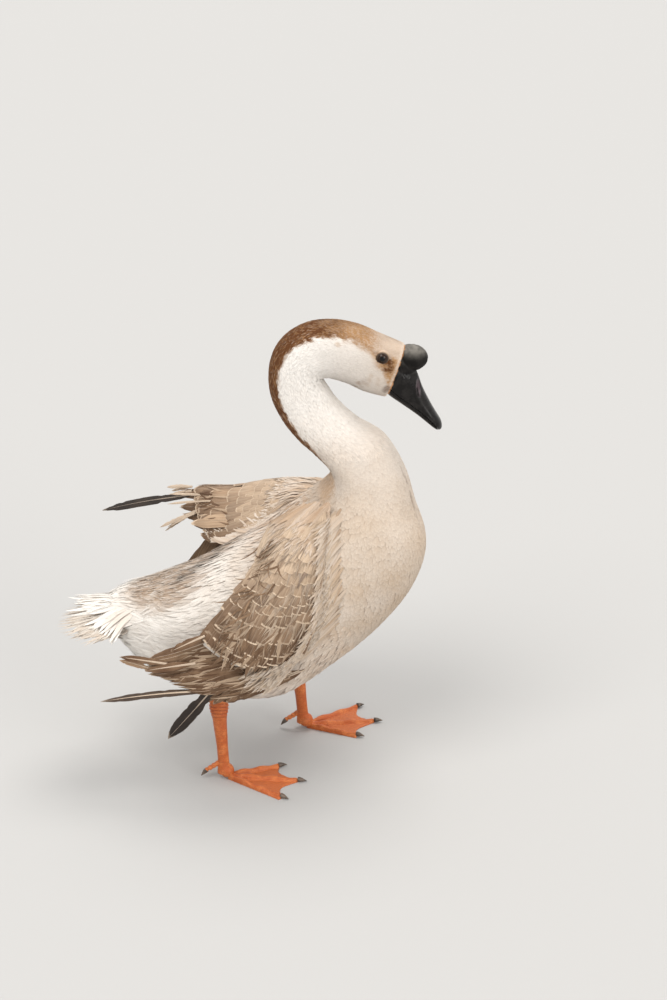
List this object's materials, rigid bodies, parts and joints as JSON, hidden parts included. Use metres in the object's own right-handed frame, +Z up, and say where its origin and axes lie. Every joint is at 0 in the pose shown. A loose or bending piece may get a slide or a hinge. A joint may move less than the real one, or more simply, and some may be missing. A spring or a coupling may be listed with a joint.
{
  "type": "domestic goose",
  "caption": "Life-size standing brown Chinese goose: curved neck with knobbed bill, one wing dropped at its side, the other held half open, short tail fan and webbed feet.",
  "frame": {"origin": "middle of the outline seen from above, on the floor that the soles stand on", "axes": "+X the way the bird faces, +Y its left side, +Z up"},
  "size_m": [0.4466, 0.2898, 0.578],
  "materials": {
    "plumage_white": "soft matte white and cream plumage",
    "plumage_buff": "soft matte buff and cream head plumage",
    "plumage_brown": "matte brown feathers with pale edges",
    "bill_black": "black horn, slightly glossy, rougher on the knob",
    "eye_dark": "wet glossy dark brown eye",
    "leg_orange": "orange scaled leg and web skin",
    "claw_horn": "dark brown horn"
  },
  "bodies": {
    "root": {"bill_lower": "bill_black", "bill_upper": "bill_black", "claw_left_1": "claw_horn", "claw_left_2": "claw_horn", "claw_left_3": "claw_horn", "claw_left_hind": "claw_horn", "claw_right_1": "claw_horn", "claw_right_2": "claw_horn", "claw_right_3": "claw_horn", "claw_right_hind": "claw_horn", "eye_left": "eye_dark", "eye_right": "eye_dark", "foot_left": "leg_orange", "foot_right": "leg_orange", "head": "plumage_buff", "hind_toe_left": "leg_orange", "hind_toe_right": "leg_orange", "knob": "bill_black", "neck_lower": "plumage_white", "neck_middle": "plumage_white", "neck_upper": "plumage_brown", "tail": "plumage_white", "tarsus_left": "leg_orange", "tarsus_right": "leg_orange", "thigh_left": "plumage_white", "thigh_right": "plumage_white", "trunk": "plumage_white", "wing_left_coverts": "plumage_brown", "wing_left_flight": "plumage_brown", "wing_left_primary_1": "plumage_brown", "wing_left_quill_1": "plumage_brown", "wing_left_quill_2": "plumage_brown", "wing_left_quill_3": "plumage_brown", "wing_right_coverts": "plumage_brown", "wing_right_flight": "plumage_brown", "wing_right_primary_1": "plumage_brown", "wing_right_primary_2": "plumage_brown", "wing_right_primary_3": "plumage_brown"}
  },
  "joints": []
}
